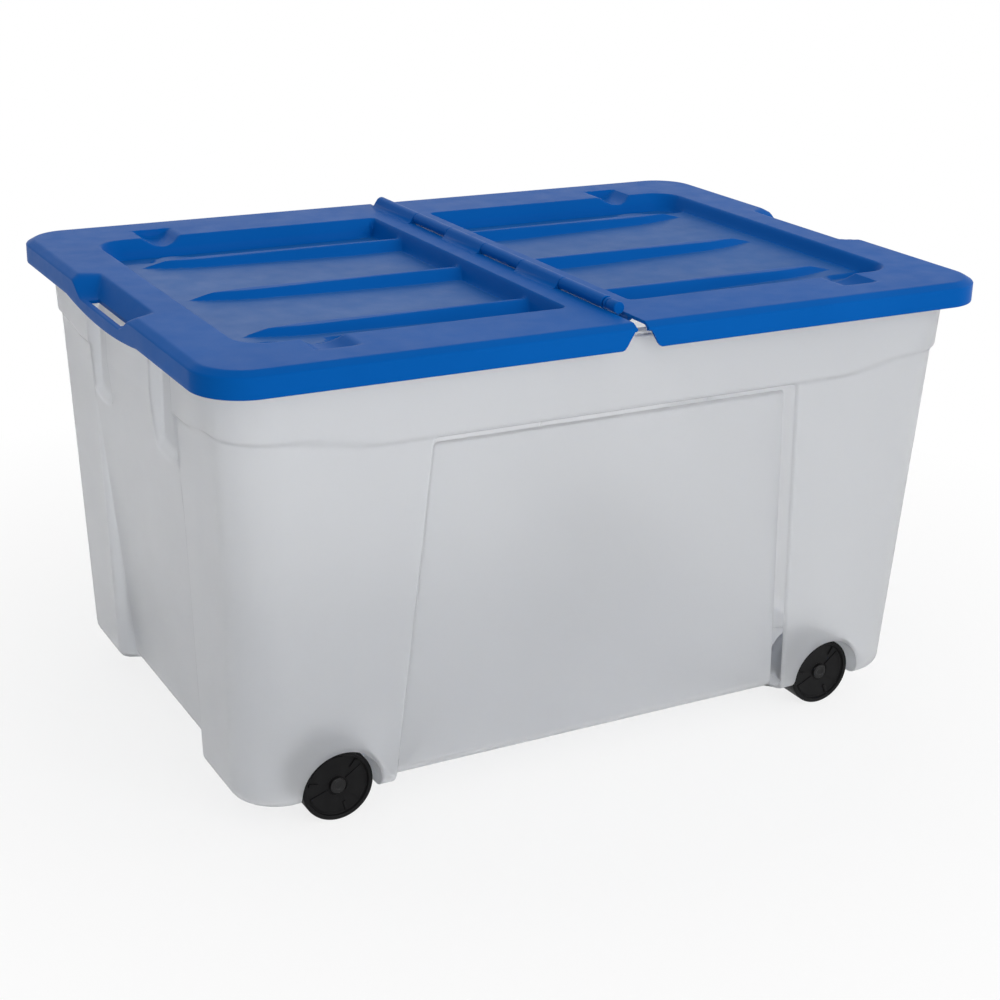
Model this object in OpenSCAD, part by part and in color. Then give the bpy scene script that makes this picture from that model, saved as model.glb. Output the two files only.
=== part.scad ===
// Roller storage box: tapered translucent tub, two-part lid folding on a centre hinge, four wheels.
// Origin: on the floor under the middle of the tub. +X along the box, +Y to the back, +Z up.

/* [Lid] */
// Length of the closed lid
lid_len = 800; // [700:10:900]
// Width of the closed lid
lid_wid = 565; // [480:5:640]
// Height of the flat top of the lid above the floor
lid_top = 448; // [380:4:560]
// Wall thickness of the lid
lid_wall = 3; // [2:0.5:4]
// Corner radius of the lid seen from above
lid_corner_r = 46; // [30:2:60]
// Height of the skirt round the lid, from the flat top down
skirt_h = 23; // [18:1:30]
// Run of the sloping edge between the flat top and the skirt
edge_run = 8; // [4:1:12]
// Drop of the sloping edge
edge_drop = 4.5; // [2:0.5:6]
// Depth of the sunk panel in each half
recess_depth = 18; // [14:1:20]
// Border between the hinge line and the sunk panel
border_hinge = 33.5; // [28:0.5:45]
// Border between the sunk panel and the end of the lid
border_end = 58.5; // [50:0.5:75]
// Border between the sunk panel and the long side of the lid
border_side = 76.5; // [65:0.5:90]
// Height of the three ribs on each sunk panel
rib_h = 10; // [5:1:13]
// Distance between neighbouring ribs
rib_pitch = 136; // [100:2:150]

/* [Lid handles] */
// Distance from the end of the lid to the inner edge of the hand recess
grip_depth = 26.5; // [24:0.5:32]
// Width of the hand recess at its inner edge
grip_wid = 154; // [110:2:180]
// Depth of the hand recess
grip_drop = 17; // [12:1:18]
// Length of the finger slot
slot_len = 96; // [70:2:110]
// Width of the finger slot
slot_wid = 10; // [6:0.5:11]
// How far the skirt hangs lower under the handle
grip_sag = 7; // [0:0.5:10]

/* [Hinge] */
// Height of the hinge axis above the flat top of the lid
hinge_rise = 4; // [3.5:0.1:6]
// Radius of the hinge knuckles
knuckle_r = 6.3; // [5.5:0.1:8]
// Radius of the hinge rod
rod_r = 3; // [2:0.1:4]
// Radial clearance of the rod in the knuckles
rod_clear = 0.08; // [0.03:0.01:0.1]
// Gap between two knuckles
knuckle_gap = 0.5; // [0.3:0.1:1]
// Clearance between a lid half and the knuckles of the other half
knuckle_clear = 0.1; // [0.1:0.1:1]

/* [Tub] */
// How far the lid reaches past the rim of the tub at each end
over_end = 20; // [17:0.5:24]
// How far the lid reaches past the rim of the tub on each long side
over_side = 16; // [12:0.5:20]
// How far each end leans in from the rim to the base
lean_end = 19; // [10:1:40]
// How far each long side leans in from the rim to the base
lean_side = 25.5; // [12:0.5:40]
// Height of the base above the floor
base_z = 27; // [20:1:35]
// Wall thickness of the tub
tub_wall = 3; // [2:0.5:4]
// Corner radius of the tub
tub_corner_r = 46; // [24:2:60]
// Distance from the flat top of the lid down to the rim of the tub
rim_drop = 10.5; // [8:0.5:14]
// Height of the outset band under the rim
band_h = 69; // [50:1:90]
// How far the band stands out from the wall
band_step = 3.5; // [2:0.5:6]
// Depth of the sunk panels on the long sides
side_panel_depth = 13; // [6:1:18]
// Depth of the sunk panels on the ends, at the base
end_panel_depth = 17; // [8:1:20]

/* [Wheels] */
// Radius of the wheels
wheel_r = 34.5; // [28:0.5:40]
// Width of a wheel
wheel_wid = 30; // [20:1:36]
// Distance from the end of the base to a wheel axle
wheel_setback = 90; // [80:1:110]
// How far the wheel face sits inside the wall of the post
wheel_inset = 9.5; // [6:0.5:16]
// Radius of the axle stubs
axle_r = 4; // [3:0.5:6]
// Radial clearance of the axle in the wheel
axle_clear = 0.08; // [0.03:0.01:0.1]
// Gap between a wheel and its arch
arch_gap = 4.5; // [3:0.5:8]

/* [Hidden] */
$fn = 64;
arc_steps = 8;
past = 1;                                   // overshoot of a cut past a face

lid_a = lid_len / 2;
lid_b = lid_wid / 2;
lid_under = lid_top - lid_wall;
lid_gap = knuckle_r + knuckle_clear;        // half the gap between the two halves

recess_in = border_hinge;                   // edges of the sunk panel at the flat top
recess_out = lid_a - border_end;
recess_b = lid_b - border_side;
recess_mid = recess_depth / 2;              // depth of the step in the panel's long walls
recess_r_in = 6;
recess_r_out = 30;
rib_half = 12;
rib_crest = 2;
rib_tip = recess_out - 33.5;
rib_taper = 45;

grip_in = lid_a - grip_depth;               // inner edge of the hand recess
grip_foot = grip_in + 11.5;                 // foot of its inner wall
grip_splay = 15;                            // how much wider it is at the end of the lid
grip_slope = 28;                            // run of its end walls
sag_half = 105;

pocket_r = 26;                              // pockets that take the wheels of a box on top
pocket_depth = 8.5;
pad_start = recess_in + 66.5;               // the panel's floor rises from here to its outer end
pad_rise = 9.5;
pad_b = recess_b - 50;
pad_bulge_r = 22;                           // half-round bulge of the rising floor beside each wheel pocket
pocket_end = lid_b - 41.5;

hinge_z = lid_top + hinge_rise;
hinge_back = lid_b - 23.5;
hinge_front = -(lid_b - 62.5);
head_front = -(lid_b - 41.5);
head_r = knuckle_r - 0.7;
knuckles = 6;
first_longer = 17;                          // the rear knuckle is longer than the others
knuckle_pitch = (hinge_back - hinge_front - first_longer) / knuckles;
web_run = 10;
skirt_notch = 13;                           // run of the sloped corner of the skirt at the hinge
skirt_notch_top = 8.5;

rim_z = lid_top - rim_drop;
rim_a = lid_a - over_end;
rim_b = lid_b - over_side;
base_a = rim_a - lean_end;
base_b = rim_b - lean_side;
wheel_x = base_a - wheel_setback;
band_z = rim_z - band_h;
band_draft = 3.2;
wall_a = rim_a - band_draft - band_step;
wall_b = rim_b - band_draft - band_step;
rim_bead_w = 10;                            // thickened rim
rim_bead_h = 6;
side_panel_top = wall_a - 185;              // half widths of the sunk panels
side_panel_base = base_a - 146;
end_panel_half = 123;
grip_setback = 6.5;                         // how far the end wall steps in to clear the hand recess
grip_low = lid_top - skirt_h - grip_sag;
panel_edge = 2.2;                           // half the run of a panel's side wall
base_fillet = [[0, 12.3], [3.4, 5.2], [11.2, 0]]; // [height, inset] of the rounded base edge
end_pocket = [66, 119];                     // upper end pockets, beside the handle column
end_pocket_depth = 14;
end_pocket_h = 113;

wheel_z = wheel_r;
arch_r = wheel_r + arch_gap;
post_b = base_b + (wall_b - base_b) * (wheel_z - base_z) / (band_z - base_z);
wheel_face = post_b - wheel_inset;
wheel_back = wheel_face - wheel_wid;
dish_depth = 3;
web_t = 4;
tread_t = 4.5;
hub_r = 10;
side_clear = 0.3;                           // end play of a wheel on its stub
spacer_h = 5.3;
well_end = wheel_back - side_clear - spacer_h;
boss_len = 12.6;
axle_head_r = 7.5;
axle_head_t = 2.4;
axle_end = well_end - tub_wall - boss_len + 2;

// Points of an arc
function arc(cx, cy, r, from, to, steps = arc_steps) =
    [for (i = [0:steps]) let (t = from + (to - from) * i / steps) [cx + r * cos(t), cy + r * sin(t)]];

// Value between two others
function mix(a, b, t) = a + (b - a) * t;

// Outline of the right half of the lid, drawn in by an inset
function lid_outline(inset, inner) =
    let (a = lid_a - inset, b = lid_b - inset, r = lid_corner_r - inset)
    concat([[inner, b], [inner, -b]], arc(a - r, r - b, r, -90, 0), arc(a - r, b - r, r, 0, 90));

// Outline of the sunk panel, drawn in on its hinge side, end and long sides
function recess_outline(hinge, end, side) =
    let (x0 = recess_in + hinge, x1 = recess_out - end, b = recess_b - side)
    let (ri = recess_r_in, ro = recess_r_out)
    concat(arc(x0 + ri, b - ri, ri, 90, 180), arc(x0 + ri, ri - b, ri, 180, 270),
        arc(x1 - ro, ro - b, ro, 270, 360), arc(x1 - ro, b - ro, ro, 0, 90));

// Quarter of a tub outline: end panel, corner post, side panel
function tub_quarter(a, b, r, end_x, end_w, side_y, side_w) = concat(
    [[end_x, end_w - panel_edge], [a, end_w + panel_edge]],
    arc(a - r, b - r, r, 0, 90),
    [[side_w + panel_edge, b], [side_w - panel_edge, side_y]]);

function reversed(list) = [for (i = [len(list) - 1:-1:0]) list[i]];

// Whole outline from a quarter
function four_ways(q) = concat(q,
    [for (p = reversed(q)) [-p[0], p[1]]],
    [for (p = q) [-p[0], -p[1]]],
    [for (p = reversed(q)) [p[0], -p[1]]]);

// Share of the wall's height, 0 at the base and 1 under the band
function wall_share(z) = (z - base_z) / (band_z - base_z);

// Outside of the end panel: flush with the band at its top, sunk at the base, set back under the lid
function end_panel_x(z) = lookup(z, [[base_z, base_a - end_panel_depth], [band_z, rim_a - band_draft],
    [grip_low, rim_a - band_draft], [grip_low + 8, rim_a - grip_setback]]);

// Tub outline on the wall, with the wall thickness taken off for the inside
function wall_ring(z, inset, t) =
    let (s = wall_share(z), a = mix(base_a, wall_a, s), b = mix(base_b, wall_b, s))
    four_ways(tub_quarter(a - inset - t, b - inset - t, tub_corner_r - inset - t,
        end_panel_x(z) - inset - t, end_panel_half + t,
        b - side_panel_depth - inset - t, mix(side_panel_base, side_panel_top, s) + t));

// Tub outline on the band
function band_ring(z, t) =
    let (s = (rim_z - z) / band_h, a = rim_a - band_draft * s, b = rim_b - band_draft * s)
    four_ways(tub_quarter(a - t, b - t, tub_corner_r + band_step - t,
        end_panel_x(z) - t, end_panel_half + t,
        b - 0.2 - t, side_panel_top + t));

// Mean of the points of an outline
function middle(list) = [for (k = [0, 1]) [for (p = list) p[k]] * [for (p = list) 1] / len(list)];

// Solid through a stack of outlines, each [height, points]
module loft(rings) {
    n = len(rings[0][1]);
    m = len(rings);
    points = [for (ring = rings) for (p = ring[1]) [p[0], p[1], ring[0]]];
    sides = [for (k = [0:m - 2]) for (i = [0:n - 1]) let (j = (i + 1) % n)
        each [[k * n + i, (k + 1) * n + i, (k + 1) * n + j], [k * n + i, (k + 1) * n + j, k * n + j]]];
    top = n * (m - 1);
    caps = [for (i = [0:n - 1]) let (j = (i + 1) % n) each [[i, j, n * m], [top + j, top + i, n * m + 1]]];
    middles = [for (ring = [rings[0], rings[m - 1]]) concat(middle(ring[1]), [ring[0]])];
    polyhedron(concat(points, middles), concat(sides, caps));
}

// Round bar along Y
module y_bar(r, from, to) {
    translate([0, to, 0]) rotate([90, 0, 0]) cylinder(r = r, h = to - from);
}

// Profile in X and Z, drawn along Y
module y_prism(points, from, to) {
    translate([0, to, 0]) rotate([90, 0, 0]) linear_extrude(to - from) polygon(points);
}

// Sunk panel of the right half, grown by the lid's thickness for the shell under it
module lid_recess(t) {
    loft([
        [lid_top - recess_depth - t, recess_outline(5.5 - t, 9.5 - t, 13 - t)],
        [lid_top - recess_mid - t / 2, recess_outline(2.5 - t, 4.5 - t, 9 - t)],
        [lid_top, recess_outline(-t, -t, -t)],
        [lid_top + past, recess_outline(-t, -t, -t)]]);
}

// Rising part of the sunk panel's floor, drawn in by the lid's thickness for the shell under it
module lid_pad(t) {
    floor_z = lid_top - recess_depth - t;
    intersection() {
        y_prism([[pad_start, floor_z - past - t], [pad_start, floor_z],
            [recess_out - 10, floor_z + pad_rise],
            [lid_a, floor_z + pad_rise], [lid_a, floor_z - past - t]], -lid_b, lid_b);
        translate([0, 0, floor_z - past - t]) linear_extrude(recess_depth) {
            translate([0, t - pad_b]) square([lid_a, 2 * (pad_b - t)]);
            for (side = [-1, 1]) translate([wheel_x, side * (pad_b - t)]) circle(pad_bulge_r - t);
        }
    }
}

// Hand recess in the end of the right half
module lid_grip(t) {
    out = lid_a + past;
    in_half = grip_wid / 2 + t;
    foot_half = in_half - grip_slope;
    top = [[grip_in - t, -in_half], [out, -in_half - grip_splay],
        [out, in_half + grip_splay], [grip_in - t, in_half]];
    foot = [[grip_foot - t, -foot_half], [out, -foot_half - grip_splay / 2],
        [out, foot_half + grip_splay / 2], [grip_foot - t, foot_half]];
    loft([[lid_top - grip_drop - t, foot], [lid_top, top], [lid_top + past, top]]);
}

// Pockets in the border where the wheels of a second box stand
module lid_pockets(t) {
    for (side = [-1, 1]) {
        translate([wheel_x, 0, lid_top - pocket_depth + pocket_r])
            if (side > 0) y_bar(pocket_r + t, recess_b - 12, pocket_end + t);
            else y_bar(pocket_r + t, -pocket_end - t, 12 - recess_b);
    }
}

// Finger slot through the foot of the hand recess
module lid_slot() {
    translate([grip_foot, -slot_len / 2, lid_top - grip_drop - lid_wall - past])
        cube([slot_wid, slot_len, lid_wall + 2 * past]);
}

// Raised ribs on the sunk panel, pointed at the end of the lid
module lid_ribs() {
    floor_z = lid_top - recess_depth - past;
    foot = recess_in + 4;
    crest = recess_in + 1;
    for (k = [-1:1]) translate([0, k * rib_pitch, 0]) loft([
        [floor_z, [[foot, -rib_half], [rib_tip - rib_taper, -rib_half], [rib_tip + 2, 0],
            [rib_tip - rib_taper, rib_half], [foot, rib_half]]],
        [floor_z + past + rib_h, [[crest, -rib_crest], [rib_tip - rib_taper, -rib_crest],
            [rib_tip, 0], [rib_tip - rib_taper, rib_crest], [crest, rib_crest]]]]);
}

// Lower edge of the skirt under the handle
module lid_sag() {
    low = lid_top - skirt_h;
    curve = [for (i = [-arc_steps:arc_steps]) let (s = i / arc_steps)
        [s * sag_half, low - grip_sag * (1 - s * s)]];
    translate([lid_a - lid_wall, 0, 0]) rotate([90, 0, 90]) linear_extrude(lid_wall)
        polygon(concat(curve, [[sag_half, low + past], [-sag_half, low + past]]));
}

// Hinge knuckle with the web that joins it to the lid
module lid_knuckle(from, to) {
    translate([0, 0, hinge_z]) y_bar(knuckle_r, from, to);
    y_prism([[0, hinge_z - knuckle_r], [web_run, lid_under], [web_run, lid_top],
        [knuckle_r * cos(32), hinge_z + knuckle_r * sin(32)]], from, to);
}

// Seat ring under the border, resting on the rim of the tub
module lid_seat() {
    low = rim_z + side_clear;
    y = rim_b - rim_bead_w / 2;
    x = rim_a - rim_bead_w / 2;
    for (side = [-1, 1]) translate([web_run + skirt_notch, side * y - 1, low])
        cube([x - web_run - skirt_notch - lid_corner_r, 2, lid_under - low + past / 2]);
    for (side = [-1, 1]) translate([x - 1, side * (lid_b * 0.62) - 20, low])
        cube([2, 40, lid_under - low + past / 2]);
}

// Right half of the lid, with the knuckles that it owns
module lid_half(first) {
    low = lid_top - skirt_h;
    difference() {
        union() {
            difference() {
                loft([[low, lid_outline(0, lid_gap)], [lid_top - edge_drop, lid_outline(0, lid_gap)],
                    [lid_top, lid_outline(edge_run, lid_gap)]]);
                difference() {
                    lid_recess(0);
                    lid_pad(0);
                }
                lid_grip(0);
                lid_pockets(0);
                difference() {
                    loft([[low - past, lid_outline(lid_wall, lid_gap + lid_wall)],
                        [lid_under - edge_drop, lid_outline(lid_wall, lid_gap + lid_wall)],
                        [lid_under, lid_outline(lid_wall + edge_run, lid_gap + lid_wall)]]);
                    difference() {
                        lid_recess(lid_wall);
                        lid_pad(lid_wall);
                    }
                    lid_grip(lid_wall);
                    lid_pockets(lid_wall);
                }
                lid_slot();
                y_prism([[0, lid_under], [lid_gap, lid_under], [lid_gap + 4, lid_top - skirt_notch_top],
                    [lid_gap + skirt_notch, low], [lid_gap + skirt_notch, low - past], [0, low - past]],
                    -lid_b - past, lid_b + past);
            }
            lid_ribs();
            lid_sag();
            lid_seat();
            for (k = [first:2:knuckles - 1]) {
                back = hinge_back - (k == 0 ? 0 : first_longer) - k * knuckle_pitch;
                front = hinge_back - first_longer - (k + 1) * knuckle_pitch;
                lid_knuckle(front + knuckle_gap / 2, back - knuckle_gap / 2);
            }
        }
        translate([0, 0, hinge_z]) y_bar(rod_r + rod_clear, hinge_front - past, hinge_back + past);
    }
}

module lid_left() {
    color("royalblue") mirror([1, 0, 0]) lid_half(0);
}

module lid_right() {
    color("royalblue") lid_half(1);
}

// Rod that joins the two halves, with a round head at the front
module hinge_rod() {
    groove = 1;
    neck = hinge_front - 1.5;
    color("dodgerblue") translate([0, 0, hinge_z]) {
        y_bar(rod_r, neck - past, hinge_back + 1.5);
        y_bar(head_r, neck - 4, neck);
        y_bar(head_r - groove, neck - 6, neck - 3);
        y_bar(head_r, head_front, neck - 5);
    }
}

// Outside of the tub, without its wheel arches
module tub_outside() {
    loft(concat([for (f = base_fillet) [base_z + f[0], wall_ring(base_z + f[0], f[1], 0)]],
        [[band_z - 2, wall_ring(band_z - 2, 0, 0)], [band_z + 1, band_ring(band_z + 1, 0)]],
        [for (z = [grip_low, grip_low + 8, rim_z]) [z, band_ring(z, 0)]]));
}

// Hollow of the tub
module tub_inside() {
    t = tub_wall;
    loft(concat([for (f = base_fillet) [base_z + f[0] + t, wall_ring(base_z + f[0] + t, f[1], t)]],
        [[band_z - 1, wall_ring(band_z - 1, 0, t)], [band_z + 2, band_ring(band_z + 2, t)],
            [grip_low, band_ring(grip_low, t)], [grip_low + 8, band_ring(grip_low + 8, t)],
            [rim_z - rim_bead_h, band_ring(rim_z - rim_bead_h, t)],
            [rim_z - rim_bead_h + 1, band_ring(rim_z, rim_bead_w)],
            [rim_z + past, band_ring(rim_z, rim_bead_w)]]));
}

// Wheel arch, grown by the wall for the shell round it
module wheel_arch(t) {
    translate([0, 0, wheel_z]) y_bar(arch_r + t, well_end - t, rim_b);
    translate([-arch_r - t, well_end - t, 0]) cube([2 * (arch_r + t), rim_b - well_end + t, wheel_z]);
}

// Places a part of a wheel mounting at each corner; the part is drawn for the rear, face outwards
module corners() {
    for (x = [-1, 1]) for (y = [-1, 1])
        translate([x * wheel_x, 0, 0]) mirror([0, y < 0 ? 1 : 0, 0]) children();
}

// Pockets beside the handle column on each end
module end_pockets(t) {
    for (x = [-1, 1]) for (y = [-1, 1]) mirror([x < 0 ? 1 : 0, 0, 0]) mirror([0, y < 0 ? 1 : 0, 0])
        translate([rim_a - end_pocket_depth - t, end_pocket[0] - t, rim_z - rim_bead_h - end_pocket_h - t])
            cube([end_pocket_depth + 2 * t + past, end_pocket[1] - end_pocket[0] + 2 * t,
                end_pocket_h + 2 * t]);
}

module tub() {
    color("gainsboro", 0.6) difference() {
        union() {
            difference() {
                tub_outside();
                difference() {
                    tub_inside();
                    corners() wheel_arch(tub_wall);
                    end_pockets(tub_wall);
                    corners() translate([0, 0, wheel_z])
                        y_bar(hub_r, well_end - tub_wall - boss_len, rim_b);
                }
                corners() wheel_arch(0);
                end_pockets(0);
            }
            corners() translate([0, 0, wheel_z])
                y_bar(hub_r - 2, well_end - tub_wall / 2, well_end + spacer_h);
        }
        corners() translate([0, 0, wheel_z]) y_bar(axle_r, axle_end, rim_b);
    }
}

// Wheel for the rear side: tread, recessed web and hub, running on an axle stub
module wheel() {
    color("#303030") translate([0, 0, wheel_z]) difference() {
        y_bar(wheel_r, wheel_back, wheel_face);
        y_bar(wheel_r - tread_t, wheel_face - dish_depth, wheel_face + past);
        difference() {
            y_bar(wheel_r - tread_t, wheel_back - past, wheel_face - dish_depth - web_t);
            y_bar(hub_r, wheel_back - past, wheel_face);
        }
        y_bar(axle_r + axle_clear, wheel_back - past, wheel_face);
    }
}

// Axle stub pressed into its boss, with a flat head that keeps the wheel on
module axle() {
    seat = wheel_face - dish_depth + side_clear;
    color("#383838") translate([0, 0, wheel_z]) {
        y_bar(axle_r, axle_end, seat + past);
        y_bar(axle_head_r, seat, seat + axle_head_t);
    }
}

tub();
lid_left();
lid_right();
hinge_rod();
translate([-wheel_x, 0, 0]) mirror([0, 1, 0]) wheel();  // wheel_front_left
translate([wheel_x, 0, 0]) mirror([0, 1, 0]) wheel();  // wheel_front_right
translate([-wheel_x, 0, 0]) wheel();  // wheel_rear_left
translate([wheel_x, 0, 0]) wheel();  // wheel_rear_right
translate([-wheel_x, 0, 0]) mirror([0, 1, 0]) axle();  // axle_front_left
translate([wheel_x, 0, 0]) mirror([0, 1, 0]) axle();  // axle_front_right
translate([-wheel_x, 0, 0]) axle();  // axle_rear_left
translate([wheel_x, 0, 0]) axle();  // axle_rear_right
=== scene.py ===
"""Looks of the wheeled storage box: translucent tub, folding blue lid, hinge rod, wheels and axle stubs."""

import math

import bmesh
import bpy
import numpy as np
from mathutils import Matrix, Vector


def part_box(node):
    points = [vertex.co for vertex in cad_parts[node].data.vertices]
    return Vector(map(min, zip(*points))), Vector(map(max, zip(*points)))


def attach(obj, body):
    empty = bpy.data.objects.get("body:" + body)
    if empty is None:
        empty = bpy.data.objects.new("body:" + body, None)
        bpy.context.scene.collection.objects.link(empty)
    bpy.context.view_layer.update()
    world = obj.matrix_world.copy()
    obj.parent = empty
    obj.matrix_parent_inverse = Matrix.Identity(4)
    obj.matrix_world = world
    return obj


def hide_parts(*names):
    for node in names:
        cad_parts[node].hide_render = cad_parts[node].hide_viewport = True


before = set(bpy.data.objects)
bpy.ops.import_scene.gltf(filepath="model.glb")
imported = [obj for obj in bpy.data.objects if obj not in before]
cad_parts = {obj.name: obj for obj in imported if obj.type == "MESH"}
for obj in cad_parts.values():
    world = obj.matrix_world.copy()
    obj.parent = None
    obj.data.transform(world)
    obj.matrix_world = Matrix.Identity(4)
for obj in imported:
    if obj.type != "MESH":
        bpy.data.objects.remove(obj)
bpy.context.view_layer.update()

MM = 0.001
SIDES = {"left": -1, "right": 1}
CORNERS = [(end, side) for end in ("front", "rear") for side in ("left", "right")]

# ---------------------------------------------------------------- sizes, in millimetres

LID_BOX = [Vector(c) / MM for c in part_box("lid_right")]
HINGE_RISE, KNUCKLE_R, ROD_R, ROD_CLEAR = 4.0, 6.3, 3.0, 0.08
LID_A, LID_B = LID_BOX[1].x, LID_BOX[1].y
LID_TOP = LID_BOX[1].z - HINGE_RISE - KNUCKLE_R
LID_WALL, LID_CORNER, LID_GAP = 3.0, 46.5, 5.6
SKIRT_H, EDGE_RUN, EDGE_DROP = 23.0, 8.0, 4.5
RECESS_IN, RECESS_OUT, RECESS_B, RECESS_DEPTH = 33.5, LID_A - 58.5, LID_B - 76.5, 18.0
RECESS_R_IN, RECESS_R_OUT = 6.0, 30.0
STEP_RUN, SIDE_RUN, END_RUN, HINGE_RUN = 9.0, 13.0, 9.5, 5.5
ROUND_DROP, ROUND_RUN, GAP_DROP, GAP_RUN = 0.9, 1.2, 0.5, 0.7
RIB_H, RIB_PITCH, RIB_HALF, RIB_TIP, RIB_TAPER = 10.0, 136.0, 13.0, 318.0, 75.0
GRIP_IN, GRIP_FOOT, GRIP_DROP = LID_A - 26.5, LID_A - 15.0, 17.0
GRIP_HALF, GRIP_FOOT_HALF, GRIP_SPLAY = 77.0, 49.0, 15.0
SLOT_OUT, SLOT_HALF = LID_A - 5.0, 48.0
SAG, SAG_HALF = 7.0, 105.0
POCKET_X, POCKET_R, POCKET_DEPTH, POCKET_END = 271.0, 26.0, 8.5, LID_B - 41.5
PAD_START, PAD_END, PAD_B = RECESS_IN + 66.5, RECESS_OUT - 10.0, RECESS_B - 50.0
PAD_RISE, BULGE_R = 4.5, 22.0

HINGE_Z = LID_TOP + HINGE_RISE
HINGE_BACK, HINGE_FRONT, FIRST_LONGER, KNUCKLES = LID_B - 23.5, -(LID_B - 62.5), 17.0, 6
KNUCKLE_PITCH = (HINGE_BACK - HINGE_FRONT - FIRST_LONGER) / KNUCKLES
KNUCKLE_GAP = 0.5

TUB_BOX = [Vector(c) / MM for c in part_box("tub")]
RIM_Z, BASE_Z = TUB_BOX[1].z, TUB_BOX[0].z
RIM_A, RIM_B = TUB_BOX[1].x, TUB_BOX[1].y
BASE_A, BASE_B = RIM_A - 19.0, RIM_B - 25.5
TUB_WALL, TUB_CORNER, TUB_FILLET = 3.0, 46.0, 12.0
BAND_DRAFT, BAND_STEP, BAND_MID_Z = 3.2, 3.5, RIM_Z - 72.0
WALL_A, WALL_B = RIM_A - BAND_DRAFT - BAND_STEP, RIM_B - BAND_DRAFT - BAND_STEP
BAND_RISE, BAND_FALL, BAND_FLAT, BAND_RUN, BAND_EASE = 12.0, 13.0, RIM_B - 49.5, 60.0, 1.5
BEAD_W, BEAD_H = 10.0, 6.0
PANEL_HIGH_Z = RIM_Z - 69.0
SIDE_PANEL_TOP, SIDE_PANEL_BASE, SIDE_PANEL_DEPTH = WALL_A - 185.0, BASE_A - 146.0, 13.0
END_PANEL_HALF, END_PANEL_DEPTH = 123.0, 17.0
POST_POCKET, POST_POCKET_DEPTH, POST_POCKET_LOW, LIP_RISE = (66.0, 119.0), 12.0, RIM_Z - 119.0, 5.0
GRIP_LOW, GRIP_SETBACK = LID_TOP - SKIRT_H - 7.0, 6.5

WHEEL_BOX = [Vector(c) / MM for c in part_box("wheel_rear_right")]
WHEEL_R = (WHEEL_BOX[1].z - WHEEL_BOX[0].z) / 2
WHEEL_X = (WHEEL_BOX[0].x + WHEEL_BOX[1].x) / 2
WHEEL_Z = (WHEEL_BOX[0].z + WHEEL_BOX[1].z) / 2
WHEEL_BACK, WHEEL_FACE = WHEEL_BOX[0].y, WHEEL_BOX[1].y
ARCH_R, WELL_END = WHEEL_R + 4.5, WHEEL_BACK - 5.3
HUB_R, DISH, WEB, TREAD = 10.0, 3.0, 4.0, 4.5
FAN, MARK, MARK_TURN = (9.6, 28.2, 38, 0.8), (19.5, 28.6, 3.2, 1.3), 52   # radii, half angle, height
REAR_TURN, FRONT_TURN = 0.35, 1.1
AXLE_R, AXLE_HEAD_R, HEAD_SEAT, HEAD_DISH = 4.0, 7.5, 0.3, 0.5
BOSS_LEN, BORE_LEN, BOSS_PAST, SPACER_R, SPACER_IN = 15.0, 13.0, 5.0, HUB_R - 2, 1.5


# ---------------------------------------------------------------- mesh helpers

def new_piece(name, verts, faces, material, smooth_deg=32):
    """Makes a closed piece from millimetre points, with its place in its mesh."""
    mesh = bpy.data.meshes.new(name)
    faces = faces if isinstance(faces, list) else faces.tolist()
    mesh.from_pydata((np.asarray(verts, float) * MM).tolist(), [], faces)
    return dress(mesh, name, material, smooth_deg)


def dress(mesh, name, material, smooth_deg=32):
    mesh.validate()
    mesh.materials.clear()
    mesh.materials.append(material)
    mesh.polygons.foreach_set("use_smooth", [True] * len(mesh.polygons))
    mesh.set_sharp_from_angle(angle=math.radians(smooth_deg))
    piece = bpy.data.objects.new(name, mesh)
    bpy.context.scene.collection.objects.link(piece)
    return piece


def join_sheets(outer, inner, faces):
    """Closed shell from two sheets with the same faces; open edges of the sheets are bridged."""
    n = len(outer)
    edges = np.concatenate([faces[:, [k, (k + 1) % 4]] for k in range(4)])
    back = set(map(tuple, edges[:, ::-1].tolist()))
    rim = [e for e in map(tuple, edges.tolist()) if e not in back]
    bridge = np.array([[b, a, a + n, b + n] for a, b in rim]).reshape(-1, 4)
    return np.concatenate([outer, inner]), np.concatenate([faces, faces[:, ::-1] + n, bridge])


def lathe(profile, centre, side=1, steps=72):
    """Closed turned piece about an axis along Y; profile is [(radius, y)] from one pole to the other."""
    verts, rings = [], []
    for r, y in profile:
        if r < 1e-6:
            rings.append([len(verts)])
            verts.append((centre[0], side * y, centre[1]))
            continue
        rings.append(list(range(len(verts), len(verts) + steps)))
        for k in range(steps):
            t = 2 * math.pi * k / steps
            verts.append((centre[0] + r * math.cos(t), side * y, centre[1] + r * math.sin(t)))
    faces = []
    for low, high in zip(rings, rings[1:]):
        for k in range(steps):
            j = (k + 1) % steps
            quad = [low[k % len(low)], low[j % len(low)], high[j % len(high)], high[k % len(high)]]
            face = list(dict.fromkeys(quad))
            faces.append(face if side > 0 else face[::-1])
    return verts, faces


def round_corner(a, b, c, r, steps=4):
    """Points of a fillet at b between the lines to a and c."""
    a, b, c = (np.array(p, float) for p in (a, b, c))
    u, v = (a - b) / np.linalg.norm(a - b), (c - b) / np.linalg.norm(c - b)
    p, q = b + u * r, b + v * r
    return [tuple((1 - t) ** 2 * p + 2 * t * (1 - t) * b + t ** 2 * q) for t in np.linspace(0, 1, steps)]


def filleted(points, radii):
    """Polyline with a fillet of the given radius at each inner point."""
    line = [points[0]]
    for a, b, c, r in zip(points, points[1:], points[2:], radii):
        line += round_corner(a, b, c, r) if r > 0 else [b]
    return line + [points[-1]]


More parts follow.
